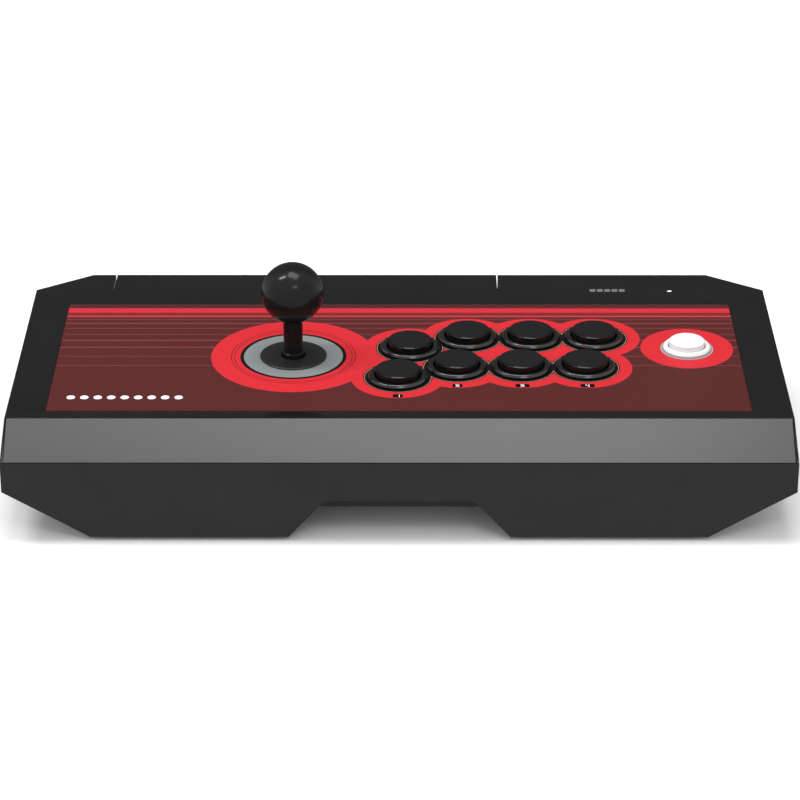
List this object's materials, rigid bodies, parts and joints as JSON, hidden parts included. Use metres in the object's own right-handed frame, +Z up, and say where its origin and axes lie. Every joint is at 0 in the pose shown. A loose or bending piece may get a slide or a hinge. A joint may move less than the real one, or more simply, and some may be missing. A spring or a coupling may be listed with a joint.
{
  "type": "arcade joystick panel",
  "caption": "Free-standing arcade control panel with a ball-top lever, round push buttons, a printed deck and a lidded rear cable compartment.",
  "frame": {"origin": "middle of the footprint, on the surface that the rubber feet stand on", "axes": "+X to the player's right, +Y away from the player, +Z up"},
  "size_m": [0.43, 0.2144, 0.1194],
  "materials": {
    "deck_plastic": "fine satin black moulding",
    "base_plastic": "fine matt charcoal moulding",
    "bezel_plastic": "satin grey moulding",
    "printed_sheet": "maroon and red print under a clear satin sheet",
    "gloss_black": "polished black moulding",
    "gloss_white": "polished white moulding",
    "steel": "zinc-plated sheet and ground rod",
    "nylon": "matt black nylon",
    "switch_plastic": "moulded switch case",
    "circuit_board": "green solder mask",
    "rubber": "matt rubber",
    "light_pipe": "frosted clear moulding",
    "switch_knob": "satin grey moulding"
  },
  "bodies": {
    "panel": {"top_case": "deck_plastic", "front_bezel": "bezel_plastic", "lower_case": "base_plastic", "rubber_foot_1": "rubber", "rubber_foot_2": "rubber", "rubber_foot_3": "rubber", "rubber_foot_4": "rubber", "case_screw_1": "steel", "case_screw_2": "steel", "case_screw_3": "steel", "case_screw_4": "steel", "art_overlay": "printed_sheet", "control_plate": "steel", "play_button_1_barrel": "gloss_black", "play_button_2_barrel": "gloss_black", "play_button_3_barrel": "gloss_black", "play_button_4_barrel": "gloss_black", "play_button_5_barrel": "gloss_black", "play_button_6_barrel": "gloss_black", "play_button_7_barrel": "gloss_black", "play_button_8_barrel": "gloss_black", "start_button_barrel": "gloss_white", "lever_mount_plate": "steel", "lever_housing": "nylon", "lever_board": "circuit_board", "restrictor_gate": "nylon", "lever_switch_1": "switch_plastic", "lever_switch_2": "switch_plastic", "lever_switch_3": "switch_plastic", "lever_switch_4": "switch_plastic", "compartment_tray": "nylon", "cable_gland": "rubber", "door_hinge_pin": "steel", "switch_panel": "base_plastic", "main_board": "circuit_board", "light_pipe": "light_pipe"},
    "lid": {"compartment_door": "deck_plastic"},
    "lever_cradle": {"pivot_ring": "nylon"},
    "lever": {"ball_top": "gloss_black", "shaft_cover": "gloss_black", "lever_shaft": "steel", "lever_actuator": "nylon", "lever_spring": "steel"},
    "under_disc": {"inner_dust_disc": "nylon"},
    "dust_disc": {"dust_washer": "gloss_black"},
    "play_button_1": {"play_button_1_plunger": "gloss_black"},
    "play_button_2": {"play_button_2_plunger": "gloss_black"},
    "play_button_3": {"play_button_3_plunger": "gloss_black"},
    "play_button_4": {"play_button_4_plunger": "gloss_black"},
    "play_button_5": {"play_button_5_plunger": "gloss_black"},
    "play_button_6": {"play_button_6_plunger": "gloss_black"},
    "play_button_7": {"play_button_7_plunger": "gloss_black"},
    "play_button_8": {"play_button_8_plunger": "gloss_black"},
    "start_button": {"start_button_plunger": "gloss_white"},
    "function_key_1": {"function_button_1": "gloss_black"},
    "function_key_2": {"function_button_2": "gloss_black"},
    "function_key_3": {"function_button_3": "gloss_black"},
    "mode_knob": {"mode_switch": "switch_knob"},
    "lock_knob": {"lock_switch": "switch_knob"}
  },
  "joints": [
    {"name": "lid_hinge", "type": "hinge", "parent": "panel", "child": "lid", "pos_m": [0, 0.10395, 0.028], "axis": [-1, 0, 0], "range_deg": [0, 90]},
    {"name": "lever_tilt_back", "type": "hinge", "parent": "panel", "child": "lever_cradle", "pos_m": [-0.0598, -0.00585, 0.05], "axis": [1, 0, 0], "range_deg": [-8.5, 8.5], "stiffness_Nm_per_rad": 0.3},
    {"name": "lever_tilt_side", "type": "hinge", "parent": "lever_cradle", "child": "lever", "pos_m": [-0.0598, -0.00585, 0.05], "axis": [0, 1, 0], "range_deg": [-8.5, 8.5], "stiffness_Nm_per_rad": 0.3},
    {"name": "dust_slide_side", "type": "slide", "parent": "panel", "child": "under_disc", "axis": [1, 0, 0], "range_m": [-0.0021, 0.0021]},
    {"name": "dust_slide_back", "type": "slide", "parent": "under_disc", "child": "dust_disc", "axis": [0, 1, 0], "range_m": [-0.0021, 0.0021]},
    {"name": "play_button_1_press", "type": "slide", "parent": "panel", "child": "play_button_1", "axis": [0, 0, -1], "range_m": [0, 0.0026], "stiffness_N_per_m": 200, "springref_m": -0.0015},
    {"name": "play_button_2_press", "type": "slide", "parent": "panel", "child": "play_button_2", "axis": [0, 0, -1], "range_m": [0, 0.0026], "stiffness_N_per_m": 200, "springref_m": -0.0015},
    {"name": "play_button_3_press", "type": "slide", "parent": "panel", "child": "play_button_3", "axis": [0, 0, -1], "range_m": [0, 0.0026], "stiffness_N_per_m": 200, "springref_m": -0.0015},
    {"name": "play_button_4_press", "type": "slide", "parent": "panel", "child": "play_button_4", "axis": [0, 0, -1], "range_m": [0, 0.0026], "stiffness_N_per_m": 200, "springref_m": -0.0015},
    {"name": "play_button_5_press", "type": "slide", "parent": "panel", "child": "play_button_5", "axis": [0, 0, -1], "range_m": [0, 0.0026], "stiffness_N_per_m": 200, "springref_m": -0.0015},
    {"name": "play_button_6_press", "type": "slide", "parent": "panel", "child": "play_button_6", "axis": [0, 0, -1], "range_m": [0, 0.0026], "stiffness_N_per_m": 200, "springref_m": -0.0015},
    {"name": "play_button_7_press", "type": "slide", "parent": "panel", "child": "play_button_7", "axis": [0, 0, -1], "range_m": [0, 0.0026], "stiffness_N_per_m": 200, "springref_m": -0.0015},
    {"name": "play_button_8_press", "type": "slide", "parent": "panel", "child": "play_button_8", "axis": [0, 0, -1], "range_m": [0, 0.0026], "stiffness_N_per_m": 200, "springref_m": -0.0015},
    {"name": "start_button_press", "type": "slide", "parent": "panel", "child": "start_button", "axis": [0, 0, -1], "range_m": [0, 0.0024], "stiffness_N_per_m": 200, "springref_m": -0.0015},
    {"name": "function_key_1_press", "type": "slide", "parent": "panel", "child": "function_key_1", "axis": [0, -1, 0], "range_m": [0, 0.0008], "stiffness_N_per_m": 300, "springref_m": -0.0005},
    {"name": "function_key_2_press", "type": "slide", "parent": "panel", "child": "function_key_2", "axis": [0, -1, 0], "range_m": [0, 0.0008], "stiffness_N_per_m": 300, "springref_m": -0.0005},
    {"name": "function_key_3_press", "type": "slide", "parent": "panel", "child": "function_key_3", "axis": [0, -1, 0], "range_m": [0, 0.0008], "stiffness_N_per_m": 300, "springref_m": -0.0005},
    {"name": "mode_slide", "type": "slide", "parent": "panel", "child": "mode_knob", "axis": [1, 0, 0], "range_m": [0, 0.0052]},
    {"name": "lock_slide", "type": "slide", "parent": "panel", "child": "lock_knob", "axis": [1, 0, 0], "range_m": [0, 0.0052]}
  ],
  "couplings": [
    {"joint": "dust_slide_side", "follows": "lever_tilt_side", "m_per_rad": 0.0137},
    {"joint": "dust_slide_back", "follows": "lever_tilt_back", "m_per_rad": -0.0137}
  ]
}
